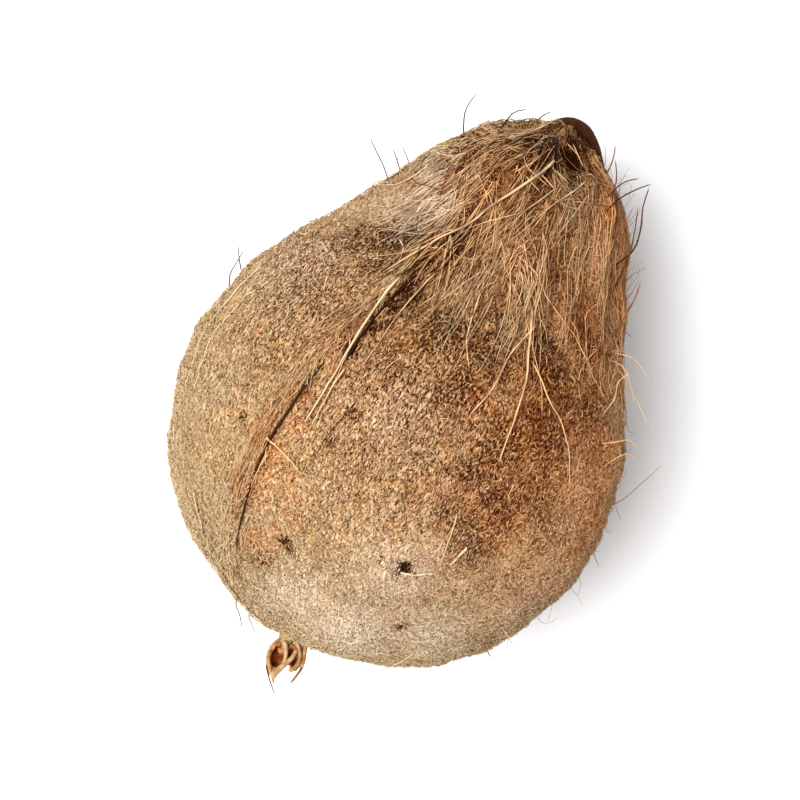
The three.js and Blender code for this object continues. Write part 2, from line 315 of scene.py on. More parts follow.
# the warm patches: partly the coir's own red-brown, partly painted warm shade along the right side, which
# faces away from the lamp
WARM_AND_SHADE_SEEN = [
    ((520, 260), 24, 0.85), ((590, 330), 24, 1.0), ((560, 430), 28, 1.0), ((590, 520), 20, 0.9),
    ((400, 345), 26, 0.45), ((530, 470), 30, 0.75), ((480, 540), 20, 0.5), ((530, 590), 16, 0.6),
    ((335, 255), 24, 0.3), ((618, 290), 14, 1.0), ((450, 250), 10, 1.0), ((535, 570), 20, 0.5),
    ((500, 160), 16, 0.6), ((250, 480), 7, 0.5), ((345, 340), 7, 0.8), ((265, 430), 6, 0.7),
    ((300, 400), 5, 0.8), ((250, 490), 6, 0.7), ((255, 540), 6, 0.6), ((470, 520), 10, 0.5),
    ((577, 154), 7, 1.0), ((430, 420), 30, 0.4), ((470, 190), 16, 0.8), ((612, 240), 18, 1.0),
    ((618, 350), 18, 1.0), ((600, 470), 18, 0.9), ((295, 425), 3.5, 1.0), ((275, 450), 3.2, 1.0),
    ((262, 475), 3, 0.9), ((275, 535), 3.5, 0.8), ((262, 560), 2.5, 1.0), ((240, 485), 2.2, 0.9),
    ((500, 185), 14, 1.0), ((460, 240), 12, 1.0), ((500, 500), 14, 1.0), ((480, 400), 16, 0.7),
    ((285, 500), 8, 0.4), ((440, 560), 14, 0.35),
]
# the pale patches: partly the coir's own paler colour, partly painted light at the bottom, which the lamp
# lights less
PALE_AND_LIGHT_SEEN = [
    ((350, 632), 13, 1.0), ((430, 636), 11, 0.7), ((520, 610), 10, 0.35), ((300, 600), 12, 0.7),
    ((412, 200), 8, 0.6), ((300, 262), 16, 0.4), ((412, 218), 8, 0.8), ((395, 575), 12, 0.6),
    ((390, 212), 5, 0.6), ((430, 175), 6, 0.8), ((200, 330), 8, 0.5), ((400, 420), 12, 0.3),
]
# the other sides: share, angle in degrees, half size in mm, amount
DARK_UNSEEN = [
    (0.58, 140, 14, 0.6), (0.45, -150, 16, 0.5), (0.64, -120, 12, 0.6), (0.30, 170, 13, 0.35),
    (0.80, 170, 20, 0.4),
]
WARM_UNSEEN = [(0.74, 160, 26, 0.8), (0.50, -130, 22, 0.7), (0.90, -110, 26, 0.8)]
PALE_UNSEEN = [(0.15, 160, 18, 0.5), (0.25, 100, 20, 0.3), (0.08, 90, 14, 0.5)]
EDGE_NOISE = [(0.5, 6.0), (0.35, 2.0)]  # strength, and size in mm, of what breaks a patch's edge
STAIN, STAIN_SIZE = 0.25, 14.0  # a faint amount that comes and goes over the whole coat


def placed(seen, unseen):
    """Both kinds of patch as rows of (middle in the nut's own frame, half size, amount)."""
    known = [(*on_coat([pixel])[0], half_size, amount) for pixel, half_size, amount in seen]
    known += [(share, math.radians(degrees), *rest) for share, degrees, *rest in unseen]
    return [(coat(share, angle), half_size, amount) for share, angle, half_size, amount in known]


DARK_AND_SHADE_PATCHES = placed(DARK_AND_SHADE_SEEN, DARK_UNSEEN)
WARM_AND_SHADE_PATCHES = placed(WARM_AND_SHADE_SEEN, WARM_UNSEEN)
PALE_AND_LIGHT_PATCHES = placed(PALE_AND_LIGHT_SEEN, PALE_UNSEEN)


def patch_amount(points, patches, layer):
    """How strongly a group of patches covers each point; 1 is fully."""
    ragged = 1
    for k, (strength, size) in enumerate(EDGE_NOISE):
        ragged = ragged + strength * noise_at(points, size, layer + k)
    amount = STAIN * np.maximum(0, noise_at(points, STAIN_SIZE, layer + len(EDGE_NOISE)))
    for middle, half_size, strength in patches:
        distance = np.linalg.norm(points - middle, axis=1)
        amount = np.maximum(amount, strength * bell(distance * ragged, half_size))
    return amount


def coat_amounts(points):
    """Dark, warm and pale amounts of points in the nut's own frame; dark goes over 1 in the pits, as
    painted shade.
    """
    dark = patch_amount(points, DARK_AND_SHADE_PATCHES, 11)
    warm = np.minimum(1, patch_amount(points, WARM_AND_SHADE_PATCHES, 21))
    pale = np.minimum(1, patch_amount(points, PALE_AND_LIGHT_PATCHES, 31))
    return np.stack([dark, warm, pale], 1)


# %% [markdown]
# All the finishes share one idea of coir's colour. A fibre has a tone from 0, as dark as the painted
# shade in a gap between fibres, to 1, a clean dry fibre. The stored amounts then pull it towards
# dark brown, red-brown or pale grey. A node group holds that once, and each material only decides
# what tone it feeds in.

# %% The colour of coir
# the two gap colours are painted shade in the gaps between fibres, and the dark end of every ramp
GAP_BROWN = (0.030, 0.008, 0.002, 1)
MID_BROWN = (0.37, 0.185, 0.064, 1)
DRY_TAN = (0.585, 0.475, 0.285, 1)
GAP_WARM = (0.026, 0.005, 0.0012, 1)
MID_WARM = (0.30, 0.08, 0.014, 1)
DRY_WARM = (0.78, 0.42, 0.18, 1)
PALE_GREY = (0.82, 0.68, 0.52, 1)
MID_TONE = 0.42  # the tone at which a fibre has its middle colour
DARK_POWER = 1.5  # in a dark patch the tone is raised to a power of up to this much more than 1
DARK_LOSS = 0.15  # and loses this share of itself
SHEEN = 0.06  # low, because coir is matt


def add_node(tree, kind, inputs, output, **settings):
    """Adds a node whose inputs are fixed values or other nodes' outputs; returns one output."""
    node = tree.nodes.new(kind)
    for name, value in settings.items():
        setattr(node, name, value)
    for name, value in inputs.items():
        if isinstance(value, bpy.types.NodeSocket):
            tree.links.new(value, node.inputs[name])
        else:
            node.inputs[name].default_value = value
    return node.outputs[output]


def calculate(tree, operation, first, second, **settings):
    return add_node(tree, "ShaderNodeMath", {0: first, 1: second}, 0, operation=operation, **settings)


def mix_colour(tree, amount, first, second):
    inputs = {"Factor": amount, "A": first, "B": second}
    return add_node(tree, "ShaderNodeMix", inputs, "Result", data_type="RGBA")


def ramp_of(tree, tone, gap, middle, dry):
    """A colour ramp over dark gap (painted shade), body of the fibre and dry highlight."""
    colour = add_node(tree, "ShaderNodeValToRGB", {"Fac": tone}, "Color")
    elements = colour.node.color_ramp.elements
    elements[0].color = gap
    elements[1].color = dry
    elements.new(MID_TONE).color = middle
    return colour


def stored_on(tree, name, output):
    """Reads what the mesh stores under a name."""
    return add_node(tree, "ShaderNodeAttribute", {}, output, attribute_name=name)


def amounts_on(tree):
    """The dark, warm and pale amounts that the mesh stores, as three sockets."""
    stored = stored_on(tree, "amounts", "Vector")
    return tuple(add_node(tree, "ShaderNodeSeparateXYZ", {0: stored}, 0).node.outputs)


def make_coir_group():
    """Node group: tone in, coir colour out, pulled by the amounts that the mesh stores."""
    group = bpy.data.node_groups.new("coir_colour", "ShaderNodeTree")
    group.interface.new_socket("Tone", in_out="INPUT", socket_type="NodeSocketFloat")
    group.interface.new_socket("Colour", in_out="OUTPUT", socket_type="NodeSocketColor")
    entry, leave = group.nodes.new("NodeGroupInput"), group.nodes.new("NodeGroupOutput")
    dark, warm, pale = amounts_on(group)
    steepness = calculate(group, "ADD", calculate(group, "MULTIPLY", dark, DARK_POWER), 1.0)
    steep_tone = calculate(group, "POWER", entry.outputs["Tone"], steepness)
    kept = calculate(group, "SUBTRACT", 1.0, calculate(group, "MULTIPLY", dark, DARK_LOSS))
    tone = calculate(group, "MULTIPLY", steep_tone, kept)
    tan = ramp_of(group, tone, GAP_BROWN, MID_BROWN, DRY_TAN)
    red = ramp_of(group, tone, GAP_WARM, MID_WARM, DRY_WARM)
    colour = mix_colour(group, warm, tan, red)
    colour = mix_colour(group, calculate(group, "MULTIPLY", pale, tone), colour, PALE_GREY)
    group.links.new(colour, leave.inputs["Colour"])
    return group


COIR_GROUP = make_coir_group()


def coir_material(name, roughness):
    """A matt material around the coir group; returns it with its tree, tone socket and shader."""
    material = bpy.data.materials.new(name)
    material.use_nodes = True
    tree = material.node_tree
    shader = tree.nodes["Principled BSDF"]
    shader.inputs["Roughness"].default_value = roughness
    shader.inputs["Specular IOR Level"].default_value = SHEEN
    coir = tree.nodes.new("ShaderNodeGroup")
    coir.node_tree = COIR_GROUP
    tree.links.new(coir.outputs["Colour"], shader.inputs["Base Color"])
    return material, tree, coir.inputs["Tone"], shader


# %% [markdown]
# The skin is the matted layer that the fibres grow out of. It carries two patterns: streaks that
# run along the coconut, and small dark specks of painted shade where one sees down between the
# fibres. The streaks read a grain coordinate stored on the mesh, squeezed along the axis. The specks
# are where a noise falls under a threshold, and in the dark patches the threshold is higher.

# %% The skin's material
STREAKS_PER_MM = 1.6
STREAK_TONES = {  # how the noise of the streaks becomes a tone
    "From Min": 0.38, "From Max": 0.60, "To Min": 0.42, "To Max": 0.88,
}
# the specks paint the shade in the gaps between the fibres
SHADE_SPECKS_PER_MM = 2.3
SHADE_SPECK_THRESHOLD, SHADE_SPECK_RISE = 0.38, 0.18  # where the coat is clean, and how much more in a dark patch
SHADE_SPECK_EDGE = 14.0  # how sharply a speck begins
SHADE_SPECK_DEPTH = 0.86  # the share of its tone that the skin loses in a speck
SKIN_ROUGHNESS = 0.95
SKIN_BUMP, BUMP_STRENGTH = 0.5 * MM, 0.8


def noise_of(tree, vector, scale, detail):
    inputs = {"Vector": vector, "Scale": scale, "Detail": detail}
    return add_node(tree, "ShaderNodeTexNoise", inputs, "Fac")


def add_bump(tree, shader, height, distance):
    inputs = {"Strength": BUMP_STRENGTH, "Distance": distance, "Height": height}
    normal = add_node(tree, "ShaderNodeBump", inputs, "Normal")
    tree.links.new(normal, shader.inputs["Normal"])


def make_skin_material():
    material, tree, tone_in, shader = coir_material("husk_skin", SKIN_ROUGHNESS)
    grain = stored_on(tree, "grain", "Vector")
    streaks = noise_of(tree, grain, STREAKS_PER_MM, 2.0)
    pattern = noise_of(tree, grain, SHADE_SPECKS_PER_MM, 1.0)
    rise = calculate(tree, "MULTIPLY", amounts_on(tree)[0], SHADE_SPECK_RISE)
    threshold = calculate(tree, "ADD", rise, SHADE_SPECK_THRESHOLD)
    below = calculate(tree, "SUBTRACT", threshold, pattern)
    speck = calculate(tree, "MULTIPLY", below, SHADE_SPECK_EDGE, use_clamp=True)
    kept = calculate(tree, "SUBTRACT", 1.0, calculate(tree, "MULTIPLY", speck, SHADE_SPECK_DEPTH))
    tones = add_node(tree, "ShaderNodeMapRange", {"Value": streaks, **STREAK_TONES}, "Result")
    tree.links.new(calculate(tree, "MULTIPLY", tones, kept), tone_in)
    add_bump(tree, shader, calculate(tree, "MULTIPLY", streaks, kept), SKIN_BUMP)
    return material


SKIN_MATERIAL = make_skin_material()

# %% [markdown]
# Blender's spin operator turns a profile round the axis, as a lathe does. A full turn with
# use_merge closes it. The spun shape is then only a net of points at known shares and angles, and
# each point is moved to the height of the relief there. Points that would be under the floor stay
# on it, because the coconut's weight has pressed the felt flat.

# %% The skin
SKIN_STATIONS = 236
SKIN_STEPS = 300
SKIN_DEPTH = 0.25  # the skin lies this far under the felt's outer face
GRAIN_SQUEEZE = 0.45  # the grain coordinate along the axis, so that its pattern is drawn out there
SEAM = 1e-5  # points of a spun shape that are closer than this become one


def finish_piece(name, mesh, material):
    """Makes an object of a mesh, in place, riding on the coconut's body."""
    for polygon in mesh.polygons:
        polygon.use_smooth = True
    mesh.materials.append(material)
    piece = bpy.data.objects.new(name, mesh)
    bpy.context.collection.objects.link(piece)
    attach(piece, "root")
    print(name, "has", sum(len(polygon.vertices) - 2 for polygon in mesh.polygons), "triangles")
    return piece


def place_vertices(mesh, points):
    """Moves every vertex to its point in the nut's own frame, and never below the floor."""
    laid = lay_down(points)
    laid[:, 2] = np.maximum(laid[:, 2], 0)
    mesh.vertices.foreach_set("co", (laid * MM).astype(np.float32).ravel())
    mesh.update()


def vertex_table(mesh):
    table = np.empty(len(mesh.vertices) * 3)
    mesh.vertices.foreach_get("co", table)
    return table.reshape(-1, 3)


def store_on(mesh, name, values):
    """Stores a number or a vector on every vertex."""
    values = np.asarray(values, np.float32)
    kind, field = ("FLOAT", "value") if values.ndim == 1 else ("FLOAT_VECTOR", "vector")
    mesh.attributes.new(name, kind, "POINT").data.foreach_set(field, values.ravel())


def mesh_of(bm, name):
    mesh = bpy.data.meshes.new(name)
    bm.to_mesh(mesh)
    bm.free()
    return mesh


def spun(points, axis, steps):
    """A profile turned once round an axis through the origin, with its seam closed."""
    bm = bmesh.new()
    profile = [bm.verts.new(point) for point in points]
    edges = [bm.edges.new(pair) for pair in zip(profile, profile[1:])]
    bmesh.ops.spin(
        bm, geom=profile + edges, cent=(0, 0, 0), axis=axis,
        angle=2 * math.pi, steps=steps, use_merge=True,
    )
    bmesh.ops.remove_doubles(bm, verts=bm.verts, dist=SEAM)
    return bm


def make_skin():
    shares = np.linspace(0, 1, SKIN_STATIONS + 1)
    profile = [(share, math.sin(math.pi * share), 0) for share in shares]
    profile[0], profile[-1] = (0, 0, 0), (1, 0, 0)
    bm = spun(profile, (1, 0, 0), SKIN_STEPS)
    bmesh.ops.triangulate(bm, faces=bm.faces)
    bmesh.ops.recalc_face_normals(bm, faces=bm.faces)
    mesh = mesh_of(bm, "husk_skin")
    net = vertex_table(mesh)
    points = coat(net[:, 0], np.arctan2(net[:, 1], net[:, 2]), -SKIN_DEPTH)
    place_vertices(mesh, points)
    store_on(mesh, "amounts", coat_amounts(points))
    store_on(mesh, "grain", points * (GRAIN_SQUEEZE, 1, 1))
    skin = finish_piece("husk_skin", mesh, SKIN_MATERIAL)
    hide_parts("coconut")


make_skin()

# %% [markdown]
# Tens of thousands of fibres are needed, and each may only have a few faces. One fibre is made
# with operators: a triangle, extruded ring by ring, with both its end faces poked to a point. The
# shortest is a cone and its mirror image. The fibre is duplicated by doubling, and every copy is
# bent along its own path. Each copy keeps a tone, so that no two neighbours look alike.

# %% A fibre, and how to grow many
SKEW = np.array([0.31, 0.52, 0.79])  # a direction that hardly any fibre has


def make_one_fibre(rings, sides):
    """A straight fibre along z: a point at 0, a ring at each of 1 to rings, a point at rings + 1."""
    bm = bmesh.new()
    bmesh.ops.create_circle(bm, cap_ends=True, segments=sides, radius=1)
    if rings == 1:
        tip = bmesh.ops.poke(bm, faces=bm.faces[:])["verts"]
        bmesh.ops.translate(bm, verts=tip, vec=(0, 0, 1))
        cone = bm.verts[:] + bm.edges[:] + bm.faces[:]
        bmesh.ops.mirror(bm, geom=cone, axis="Z", merge_dist=0.01)
    else:
        root = cap = bm.faces[:][0]
        for _ in range(rings - 1):
            made = bmesh.ops.extrude_face_region(bm, geom=[cap])["geom"]
            cap = next(item for item in made if isinstance(item, bmesh.types.BMFace))
            bmesh.ops.translate(bm, verts=cap.verts[:], vec=(0, 0, 1))
        for face, way in ((root, -1), (cap, 1)):
            tip = bmesh.ops.poke(bm, faces=[face])["verts"]
            bmesh.ops.translate(bm, verts=tip, vec=(0, 0, way))
    bmesh.ops.triangulate(bm, faces=bm.faces[:])
    bmesh.ops.translate(bm, verts=bm.verts[:], vec=(0, 0, 1))
    bmesh.ops.recalc_face_normals(bm, faces=bm.faces[:])
    return mesh_of(bm, "one_fibre")


def duplicate_to(mesh, count):
    """Doubles the mesh until there are at least count copies, and deletes what is over."""
    bm = bmesh.new()
    bm.from_mesh(mesh)
    each = len(bm.verts)
    while len(bm.verts) < count * each:
        bmesh.ops.duplicate(bm, geom=bm.verts[:] + bm.edges[:] + bm.faces[:])
    bmesh.ops.delete(bm, geom=bm.verts[:][count * each :], context="VERTS")
    bm.to_mesh(mesh)
    bm.free()


def across(vectors, others):
    """Unit vectors at right angles to both."""
    crossed = np.cross(vectors, others)
    return crossed / (np.linalg.norm(crossed, axis=-1, keepdims=True) + 1e-9)


def grow_fibres(name, paths, radii, tones, material, taper=0.5, sides=3, amounts=None):
    """Bends a copy of one fibre along every path; paths is (count, rings + 2, 3) in millimetres."""
    amounts = coat_amounts(paths[:, 1]) if amounts is None else amounts
    rings = paths.shape[1] - 2
    mesh = make_one_fibre(rings, sides)
    shape = vertex_table(mesh)
    duplicate_to(mesh, len(paths))
    mesh.name = name
    step = np.rint(shape[:, 2]).astype(int)
    forward = np.gradient(paths, axis=1)
    side = across(forward, SKEW)
    other = across(forward, side)
    width = np.where(step == rings + 1, 0, 1 - (1 - taper) * step / (rings + 1))
    reach = radii[:, None, None] * width[None, :, None]
    ring = shape[None, :, 0, None] * other[:, step] + shape[None, :, 1, None] * side[:, step]
    place_vertices(mesh, (paths[:, step] + reach * ring).reshape(-1, 3))
    store_on(mesh, "amounts", np.repeat(amounts, len(shape), axis=0))
    store_on(mesh, "tone", np.repeat(tones, len(shape)))
    finish_piece(name, mesh, material)


def grow_one(name, path, radius, tone, material, taper=0.5, sides=3):
    """A single fibre along one path."""
    grow_fibres(name, path[None], np.array([radius]), np.array([tone]), material, taper, sides)


# %% [markdown]
# A fibre's tone is stored on it, and a little noise along it keeps long strands from looking like
# plastic thread. Dark hairs take the same material with a low tone.

# %% The fibres' material
FIBRE_ROUGHNESS = 0.75
FLECKS_PER_METRE = 500.0
FLECK_BASE, FLECK_SHARE = 0.75, 0.5  # the tone is multiplied by the base and this share of a noise


def make_fibre_material(name):
    material, tree, tone_in, _ = coir_material(name, FIBRE_ROUGHNESS)
    place = add_node(tree, "ShaderNodeTexCoord", {}, "Object")
    flecks = calculate(tree, "MULTIPLY", noise_of(tree, place, FLECKS_PER_METRE, 2.0), FLECK_SHARE)
    raised = calculate(tree, "ADD", flecks, FLECK_BASE)
    tree.links.new(calculate(tree, "MULTIPLY", stored_on(tree, "tone", "Fac"), raised), tone_in)
    return material


FELT_MATERIAL = make_fibre_material("chopped_fibre")
STRAND_MATERIAL = make_fibre_material("long_fibre")

# %% [markdown]
# Where the husk was torn away, its fibres were chopped to stubs of one to four millimetres. They
# lie flat, mostly along the coconut but well mixed, and cover more than half of the skin. Within
# a piece every square millimetre gets as many, and in a dark patch more of them are dark.

# %% The felt of chopped fibres
draws = np.random.default_rng(20117)
AREA = np.concatenate([[0], np.cumsum(OUTLINE[1:, 1] * np.diff(OUTLINE_ARC))])
FLOOR_CLEARANCE = 0.8
LEAST_RADIUS = 4.0  # keeps a fibre near the axis from winding round it
DARK_FIBRES, DARKER_FIBRES = 0.1, 0.5  # the share of dark fibres, and how much more in a dark patch
FELT_TOPS, FELT_ROOT = (0.2, 0.75), -0.2  # heights over the coat
FELT_CURL = 0.5
FELT_LIGHT, FELT_DARK = (0.84, 0.14), (0.12, 0.5)  # mean and spread of the tone, and its range
FELT_RADII, FELT_TAPER = (0.09, 0.17), 0.7
CHOPPED = (0, 1.0, 0.1)  # height along a fibre, as a share of its top
BENT = (0, 1.0, 1.1, 0.6)


def scattered(count, low=0.0, high=1.0):
    """Shares and angles of count places spread evenly over the coat between two shares."""
    ends = np.interp(np.array([low, high]) * OUTLINE_LENGTH, OUTLINE_ARC, AREA)
    share = np.interp(draws.uniform(*ends, count), AREA, OUTLINE_ARC) / OUTLINE_LENGTH
    return share, draws.uniform(-math.pi, math.pi, count)


def radius_at(share):
    return np.maximum(LEAST_RADIUS, outline_at(share * OUTLINE_LENGTH)[1])


def paths_over(share, angle, heading, lengths, heights, curl):
    """Paths that run over the coat from each place; heading 0 is towards the pole."""
    part = np.linspace(0, 1, heights.shape[1])[None, :]
    bending = heading[:, None] + curl[:, None] * (part - 0.3)
    go = lengths[:, None] * part
    shares = share[:, None] - go * np.cos(bending) / OUTLINE_LENGTH
    angles = angle[:, None] + go * np.sin(bending) / radius_at(share)[:, None]
    return coat(np.clip(shares, 0.001, 0.999), angles, heights)


def clear_of_floor(paths):
    return (lay_down(paths)[..., 2] > FLOOR_CLEARANCE).all(1)


def make_felt(name, count, low, high, lengths, shape, spread):
    """Chopped fibres between two shares; spread is how far their headings leave the axis."""
    share, angle = scattered(count, low, high)
    heading = draws.normal(0, spread, count) + math.pi * draws.integers(0, 2, count)
    heights = draws.uniform(*FELT_TOPS, count)[:, None] * np.array(shape)[None, :]
    heights[:, 0] = FELT_ROOT
    length = draws.uniform(*lengths, count)
    curl = draws.normal(0, FELT_CURL, count)
    paths = paths_over(share, angle, heading, length, heights, curl)
    paths = paths[clear_of_floor(paths)]
    amounts = coat_amounts(paths[:, 1])
    dark = draws.uniform(0, 1, len(paths)) < DARK_FIBRES + DARKER_FIBRES * amounts[:, 0]
    light_tones = draws.normal(*FELT_LIGHT, len(paths))
    tones = np.where(dark, draws.uniform(*FELT_DARK, len(paths)), light_tones)
    radii = draws.uniform(*FELT_RADII, len(paths))
    grow_fibres(name, paths, radii, tones, FELT_MATERIAL, FELT_TAPER, amounts=amounts)


make_felt("felt_pole_end", 30500, 0.0, 0.27, (0.8, 2.2), CHOPPED, 0.6)
make_felt("felt_middle", 30500, 0.27, 0.45, (0.8, 2.2), CHOPPED, 0.6)
make_felt("felt_tuft_end", 30500, 0.45, 0.78, (0.8, 2.4), CHOPPED, 0.6)
make_felt("felt_bent", 2600, 0.0, 0.74, (2.0, 3.8), BENT, 0.8)

# %% [markdown]
# The tuft is combed in locks: fibres that leave the stalk side by side and draw together into a
# point. Each strand belongs to a lock. It starts beside its lock's middle, wanders a little, and
# ends closer to it, which leaves the dark wedges between the locks that the real tuft has.

# %% The tuft
TUFT_LOCKS = 110
LOCK_JITTER, LOCK_SWAY = 0.4, 0.1  # as a share of the step between locks, and in radians
BARE_ANGLE, BARE_HALF_WIDTH = math.radians(62), math.radians(26)  # where the tuft stops short
BARE_FROM, BARE_LOSS = 0.83, 0.6  # the share its strands then start at, and the part of a run lost
WIDE_AT_ROOT, CLOSES_BY = 1.2, 0.8  # how a strand closes up to its lock's middle
SWAY_TURN, STRAYING = 2.2, 0.07  # how far a lock bends, and a strand leaves it, in radians
WAVE_HEIGHT, WAVE_TURNS, WAVE_STARTS = 0.25, (3, 9), (0, 6)
RISE_RATE, ROOT_DEPTH = 5, 0.5  # a strand has risen after a fifth of its run, from this far inside
TIP_LIFT = 0.25  # how far a tip stands off, on average
DARK_IN_TUFT = 0.75  # the share of dark strands where the dark amount is 1
TUFT_SPREAD, TUFT_LIMITS, TUFT_DARK = 0.3, (0.1, 1.2), (0.08, 0.4)  # of the tones


def along_air(pixels, height, steps=3):
    """A smooth path through the air, in the nut's own frame, that shows at these pixels."""
    return take_up(smooth_curve(in_air(pixels, height), steps))


LIP_PATH = [(541, 152), (547, 137), (558, 128), (572, 126), (584, 133), (591, 146), (595, 160), (598, 176)]
LIP_HEIGHT, LIP_RADIUS = 52.5, 2.5
HOLLOW_CLEARANCE, LIP_CLEARANCE = 5.4, 3.6
KEEP_CLEAR = [(DENTS[len(PITS)][0], HOLLOW_CLEARANCE)]
KEEP_CLEAR += [(point, LIP_CLEARANCE) for point in along_air(LIP_PATH, LIP_HEIGHT)]


def clear_of_scar(paths):
    """True for the paths that stay out of the hollow and off the hard lip round it."""
    clear = np.full(len(paths), True)
    for middle, distance in KEEP_CLEAR:
        clear &= (np.linalg.norm(paths - middle, axis=-1) > distance).all(1)
    return clear


def make_tuft(name, count, rings, roots, runs, rise, width, radii_range, tone_mean, window=None):
    """A layer of strands; roots are shares, runs and rise millimetres, width and window radians."""
    lock = draws.integers(0, TUFT_LOCKS, count)
    jitter = draws.uniform(-LOCK_JITTER, LOCK_JITTER, TUFT_LOCKS)
    lock_angle = 2 * math.pi * (np.arange(TUFT_LOCKS) + jitter) / TUFT_LOCKS
    lock_sway = draws.normal(0, LOCK_SWAY, TUFT_LOCKS)
    part = np.linspace(0, 1, rings + 2)[None, :]
    bare = bell(lock_angle[lock] - BARE_ANGLE, BARE_HALF_WIDTH)
    share = draws.uniform(*roots, count)
    share += bare * np.maximum(0, BARE_FROM - share)
    run = draws.uniform(*runs, count) * (1 - BARE_LOSS * bare)
    beside = draws.normal(0, width, count)[:, None] * (WIDE_AT_ROOT - CLOSES_BY * part)
    sway = lock_sway[lock][:, None] * np.sin(SWAY_TURN * part)
    stray = draws.standard_t(3, count)[:, None] * STRAYING * part
    angles = lock_angle[lock][:, None] + beside + sway + stray
    shares = share[:, None] - run[:, None] * part / OUTLINE_LENGTH
    lift = draws.uniform(*rise, count)[:, None]
    turns = draws.uniform(*WAVE_TURNS, count)[:, None]
    starts = draws.uniform(*WAVE_STARTS, count)[:, None]
    wave = WAVE_HEIGHT * np.sin(part * turns + starts)
    heights = (lift + wave) * np.minimum(1, RISE_RATE * part) - ROOT_DEPTH * (part == 0)
    heights += draws.exponential(TIP_LIFT, count)[:, None] * part**3
    paths = coat(np.clip(shares, 0.002, 0.995), angles, heights)
    keep = clear_of_floor(paths) & clear_of_scar(paths)
    if window:
        away = np.abs(np.mod(angles[:, 0] - window[0] + math.pi, 2 * math.pi) - math.pi)
        keep &= away < window[1]
    paths = paths[keep]
    amounts = coat_amounts(paths[:, len(paths[0]) // 2])
    dark = draws.uniform(0, 1, len(paths)) < DARK_IN_TUFT * amounts[:, 0] ** 2
    light_tones = np.clip(draws.normal(tone_mean, TUFT_SPREAD, len(paths)), *TUFT_LIMITS)
    tones = np.where(dark, draws.uniform(*TUFT_DARK, len(paths)), light_tones)
    radii = draws.uniform(*radii_range, len(paths))
    grow_fibres(name, paths, radii, tones, STRAND_MATERIAL, 0.6, amounts=amounts)


make_tuft("tuft_under", 7500, 2, (0.66, 0.985), (3, 9), (0.0, 0.4), 0.07, (0.09, 0.16), 0.55)
make_tuft("tuft_strands", 1800, 8, (0.80, 0.98), (12, 48), (0.1, 0.8), 0.06, (0.08, 0.15), 0.85)
make_tuft("tuft_wisps", 800, 6, (0.66, 0.88), (8, 24), (0.2, 0.9), 0.07, (0.09, 0.16), 0.9)
make_tuft(
    "tuft_ends", 1500, 8, (0.66, 0.80), (14, 34), (0.4, 1.1), 0.09, (0.1, 0.19), 1.1,
    window=(math.radians(14), math.radians(30)),
)

# %% [markdown]
# Here and there a longer fibre escaped the chopping. These curl over the felt in any direction,
# and the strays at the end stand off it, which breaks up the outline.

# %% Curled fibres and strays
FLANK_ANGLES = (math.radians(-110), math.radians(-65))
LOOSE_ROOT = -0.4
LOOSE_SPREAD, LOOSE_LIMITS = 0.22, (0.05, 1.3)  # of the tones


def make_loose(name, count, low, high, lengths, tips, shape, curl, tone, radii_range, flank=False):
    """Fibres that leave the coat; shape is their height over it from root to tip, as a share of tips."""
    share, angle = scattered(count, low, high)
    heading = draws.uniform(-math.pi, math.pi, count)
    if flank:
        angle = draws.uniform(*FLANK_ANGLES, count)
        heading = draws.normal(math.pi, 0.5, count)
    heights = draws.uniform(*tips, count)[:, None] * np.array(shape)[None, :]
    heights[:, 0] = LOOSE_ROOT
    length = draws.uniform(*lengths, count)
    paths = paths_over(share, angle, heading, length, heights, draws.normal(0, curl, count))
    keep = clear_of_floor(paths) & clear_of_scar(paths)
    tones = np.clip(draws.normal(tone, LOOSE_SPREAD, count), *LOOSE_LIMITS)
    radii = draws.uniform(*radii_range, count)
    grow_fibres(name, paths[keep], radii[keep], tones[keep], STRAND_MATERIAL)


LYING = (0, 0.8, 1.0, 0.9, 0.8)
STANDING = (0, 0.2, 0.45, 0.72, 0.9, 1.0)
make_loose("curled_fibres", 500, 0.03, 0.75, (3, 8), (0.5, 1.2), LYING, 1.3, 0.9, (0.08, 0.15))
make_loose("crossing_fibres", 460, 0.72, 0.97, (5, 16), (0.6, 1.4), LYING, 0.7, 0.85, (0.07, 0.12))
make_loose("fuzz", 1900, 0.02, 0.97, (1, 4), (0.6, 1.8), (0, 0.5, 1.0), 0.8, 0.8, (0.07, 0.13))
make_loose("strays", 160, 0.03, 0.96, (2, 10), (2.5, 7), STANDING, 1.2, 0.35, (0.06, 0.11))
make_loose("flank_strays", 34, 0.74, 0.95, (4, 13), (2, 8), STANDING, 1.2, 0.5, (0.06, 0.11), flank=True)

# %% [markdown]
# The keel on top is a ridge of longer fibres that were never chopped. They lie side by side along
# it, orange-brown, and thin out on both sides.

# %% The fibres along the keel
KEEL_FIBRES = 260
KEEL_SHARES, KEEL_SPREAD = (0.16, 0.66), 2.2  # where along the nut, and how far beside it in mm
KEEL_LENGTHS, KEEL_TOPS, KEEL_ROOT = (4, 15), (0.2, 0.8), -0.3
KEEL_SHAPE = (0, 1, 1, 1, 0.9, 0.4)


def make_keel_fibres():
    share = draws.uniform(*KEEL_SHARES, KEEL_FIBRES)
    x = outline_at(share * OUTLINE_LENGTH)[0]
    angle = keel_angle(x) + draws.normal(0, KEEL_SPREAD, KEEL_FIBRES) / radius_at(share)
    heading = -KEEL_DRIFT * NUT_RADIUS + draws.normal(0, 0.12, KEEL_FIBRES)
    heights = draws.uniform(*KEEL_TOPS, KEEL_FIBRES)[:, None] * np.array(KEEL_SHAPE)[None, :]
    heights[:, 0] = KEEL_ROOT
    length = draws.uniform(*KEEL_LENGTHS, KEEL_FIBRES)
    paths = paths_over(share, angle, heading, length, heights, draws.normal(0, 0.25, KEEL_FIBRES))
    tones = np.clip(draws.normal(0.75, 0.3, KEEL_FIBRES), 0.1, 1.2)
    radii = draws.uniform(0.09, 0.18, KEEL_FIBRES)
    grow_fibres("keel_fibres", paths, radii, tones, STRAND_MATERIAL, 0.6)


make_keel_fibres()
